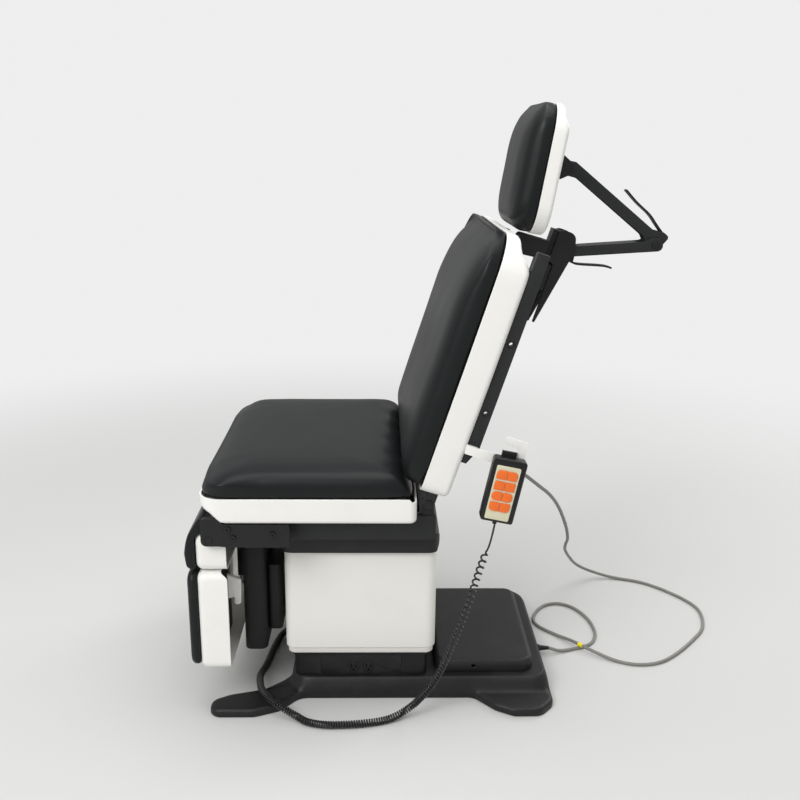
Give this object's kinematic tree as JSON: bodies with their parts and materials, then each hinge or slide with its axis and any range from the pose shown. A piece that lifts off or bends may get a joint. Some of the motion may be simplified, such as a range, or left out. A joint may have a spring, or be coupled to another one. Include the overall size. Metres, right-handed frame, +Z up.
{
  "type": "exam chair",
  "caption": "Powered exam chair: telescoping column on a low footed base, tilting seat, reclining back, folding leg section, articulated headrest and corded hand control.",
  "frame": {"origin": "on the floor, under the centre of the base", "axes": "+Z up, the front of the seat faces -Y, +X to the sitter's left"},
  "size_m": [0.717, 1.2853, 1.3028],
  "materials": {
    "black_abs": "moulded black ABS, fine texture",
    "black_gloss": "moulded black ABS, semi-gloss",
    "vinyl": "black upholstery vinyl, soft sheen, cast grain",
    "white_abs": "warm white moulded ABS, satin",
    "cover_white": "warm white painted cover, satin",
    "frame_grey": "charcoal powder coat",
    "black_metal": "black powder coat",
    "steel": "bright zinc-plated or ground steel",
    "plate_grey": "grey primer on steel plate",
    "motor_grey": "black moulded motor housing",
    "keypad_cream": "cream membrane keypad",
    "button_orange": "orange rubbery keys",
    "cord_grey": "grey PVC cord jacket",
    "cord_black": "black PVC coiled cord",
    "plug_grey": "light grey moulded plug"
  },
  "bodies": {
    "base": {"base_cover": "black_abs", "base_plate": "plate_grey", "rear_lid": "black_abs", "power_unit": "motor_grey", "inner_column_box": "black_metal", "receptacle_panel": "black_abs", "outlet_sockets": "black_gloss", "lift_column_outer": "steel", "mains_gland": "black_abs", "mains_cord": "cord_grey", "curly_cord": "cord_black"},
    "middle": {"middle_cover": "black_metal", "lift_column_middle": "steel"},
    "carriage": {"column_cover": "cover_white", "upper_shroud": "black_abs", "carriage_frame": "frame_grey"},
    "seat": {"seat_frame": "frame_grey", "seat_shell": "white_abs", "seat_cushion": "vinyl", "leg_hinge_bracket_left": "black_metal", "leg_hinge_bracket_right": "black_metal", "frame_bolts": "steel", "actuator_housing": "motor_grey", "leg_motor": "motor_grey", "hinge_pins": "steel"},
    "back": {"back_frame": "frame_grey", "back_shell": "white_abs", "back_cushion": "vinyl", "rail_left": "black_metal", "rail_right": "black_metal", "rail_bushings": "steel", "handset_bracket": "white_abs", "headrest_guide": "black_metal", "mains_plug": "plug_grey"},
    "mast": {"headrest_mast": "black_metal"},
    "lower_arm": {"lower_arm": "frame_grey", "elbow_pin": "steel"},
    "lower_lever": {"lower_lever": "black_metal"},
    "upper_arm": {"upper_arm": "frame_grey"},
    "elbow_lever": {"elbow_lever": "black_metal"},
    "head": {"head_bracket": "black_metal", "head_shell": "white_abs", "head_cushion": "vinyl"},
    "leg": {"leg_frame": "frame_grey", "leg_shell": "white_abs", "leg_cushion": "vinyl"},
    "footpad": {"footpad_shell": "white_abs", "footpad_cushion": "vinyl", "footpad_handle": "white_abs", "footpad_slides": "steel"},
    "handset": {"handset_case": "black_gloss", "handset_keypad": "keypad_cream"},
    "key_1": {"button_1": "button_orange"},
    "key_2": {"button_2": "button_orange"},
    "key_3": {"button_3": "button_orange"},
    "key_4": {"button_4": "button_orange"},
    "key_5": {"button_5": "button_orange"},
    "key_6": {"button_6": "button_orange"},
    "key_7": {"button_7": "button_orange"},
    "key_8": {"button_8": "button_orange"}
  },
  "joints": [
    {"name": "lift", "type": "slide", "parent": "base", "child": "carriage", "axis": [0, 0, 1], "range_m": [0, 0.36], "deforming": ["mains_cord", "curly_cord"]},
    {"name": "cover_follow", "type": "slide", "parent": "base", "child": "middle", "axis": [0, 0, 1], "range_m": [0, 0.18]},
    {"name": "seat_tilt", "type": "hinge", "parent": "carriage", "child": "seat", "pos_m": [0, 0.09, 0.427], "axis": [-1, 0, 0], "range_deg": [0, 30]},
    {"name": "back_recline", "type": "hinge", "parent": "seat", "child": "back", "pos_m": [0, 0.09163, 0.50024], "axis": [-1, 0, 0], "range_deg": [0, 70]},
    {"name": "leg_raise", "type": "hinge", "parent": "seat", "child": "leg", "pos_m": [0, -0.362, 0.43], "axis": [-1, 0, 0], "range_deg": [0, 85]},
    {"name": "footpad_slide", "type": "slide", "parent": "leg", "child": "footpad", "axis": [0, 0, -1], "range_m": [0, 0.09]},
    {"name": "mast_slide", "type": "slide", "parent": "back", "child": "mast", "axis": [0, 0.3024, 0.9532], "range_m": [0, 0.1]},
    {"name": "lower_arm_fold", "type": "hinge", "parent": "mast", "child": "lower_arm", "pos_m": [0, 0.39592, 0.99646], "axis": [-1, 0, 0], "range_deg": [0, 40]},
    {"name": "lower_lever_squeeze", "type": "hinge", "parent": "lower_arm", "child": "lower_lever", "pos_m": [0, 0.4123, 0.99162], "axis": [1, 0, 0], "range_deg": [0, 8], "stiffness_Nm_per_rad": 1, "springref_deg": -17.19},
    {"name": "elbow_fold", "type": "hinge", "parent": "lower_arm", "child": "upper_arm", "pos_m": [0, 0.59241, 1.01055], "axis": [-1, 0, 0], "range_deg": [0, 60]},
    {"name": "elbow_lever_squeeze", "type": "hinge", "parent": "upper_arm", "child": "elbow_lever", "pos_m": [0, 0.61146, 1.02656], "axis": [1, 0, 0], "range_deg": [0, 6], "stiffness_Nm_per_rad": 1, "springref_deg": -17.19},
    {"name": "head_tilt", "type": "hinge", "parent": "upper_arm", "child": "head", "pos_m": [0, 0.38922, 1.17275], "axis": [-1, 0, 0], "range_deg": [0, 30]},
    {"name": "handset_lift_off", "type": "slide", "parent": "back", "child": "handset", "axis": [0, 0.1994, 0.9799], "range_m": [0, 0.06]},
    {"name": "key_1_press", "type": "slide", "parent": "handset", "child": "key_1", "axis": [-1, 0, 0], "range_m": [0, 0.001], "stiffness_N_per_m": 400, "springref_m": -0.002},
    {"name": "key_2_press", "type": "slide", "parent": "handset", "child": "key_2", "axis": [-1, 0, 0], "range_m": [0, 0.001], "stiffness_N_per_m": 400, "springref_m": -0.002},
    {"name": "key_3_press", "type": "slide", "parent": "handset", "child": "key_3", "axis": [-1, 0, 0], "range_m": [0, 0.001], "stiffness_N_per_m": 400, "springref_m": -0.002},
    {"name": "key_4_press", "type": "slide", "parent": "handset", "child": "key_4", "axis": [-1, 0, 0], "range_m": [0, 0.001], "stiffness_N_per_m": 400, "springref_m": -0.002},
    {"name": "key_5_press", "type": "slide", "parent": "handset", "child": "key_5", "axis": [-1, 0, 0], "range_m": [0, 0.001], "stiffness_N_per_m": 400, "springref_m": -0.002},
    {"name": "key_6_press", "type": "slide", "parent": "handset", "child": "key_6", "axis": [-1, 0, 0], "range_m": [0, 0.001], "stiffness_N_per_m": 400, "springref_m": -0.002},
    {"name": "key_7_press", "type": "slide", "parent": "handset", "child": "key_7", "axis": [-1, 0, 0], "range_m": [0, 0.001], "stiffness_N_per_m": 400, "springref_m": -0.002},
    {"name": "key_8_press", "type": "slide", "parent": "handset", "child": "key_8", "axis": [-1, 0, 0], "range_m": [0, 0.001], "stiffness_N_per_m": 400, "springref_m": -0.002}
  ],
  "couplings": [
    {"joint": "cover_follow", "follows": "lift", "ratio": 0.5}
  ]
}
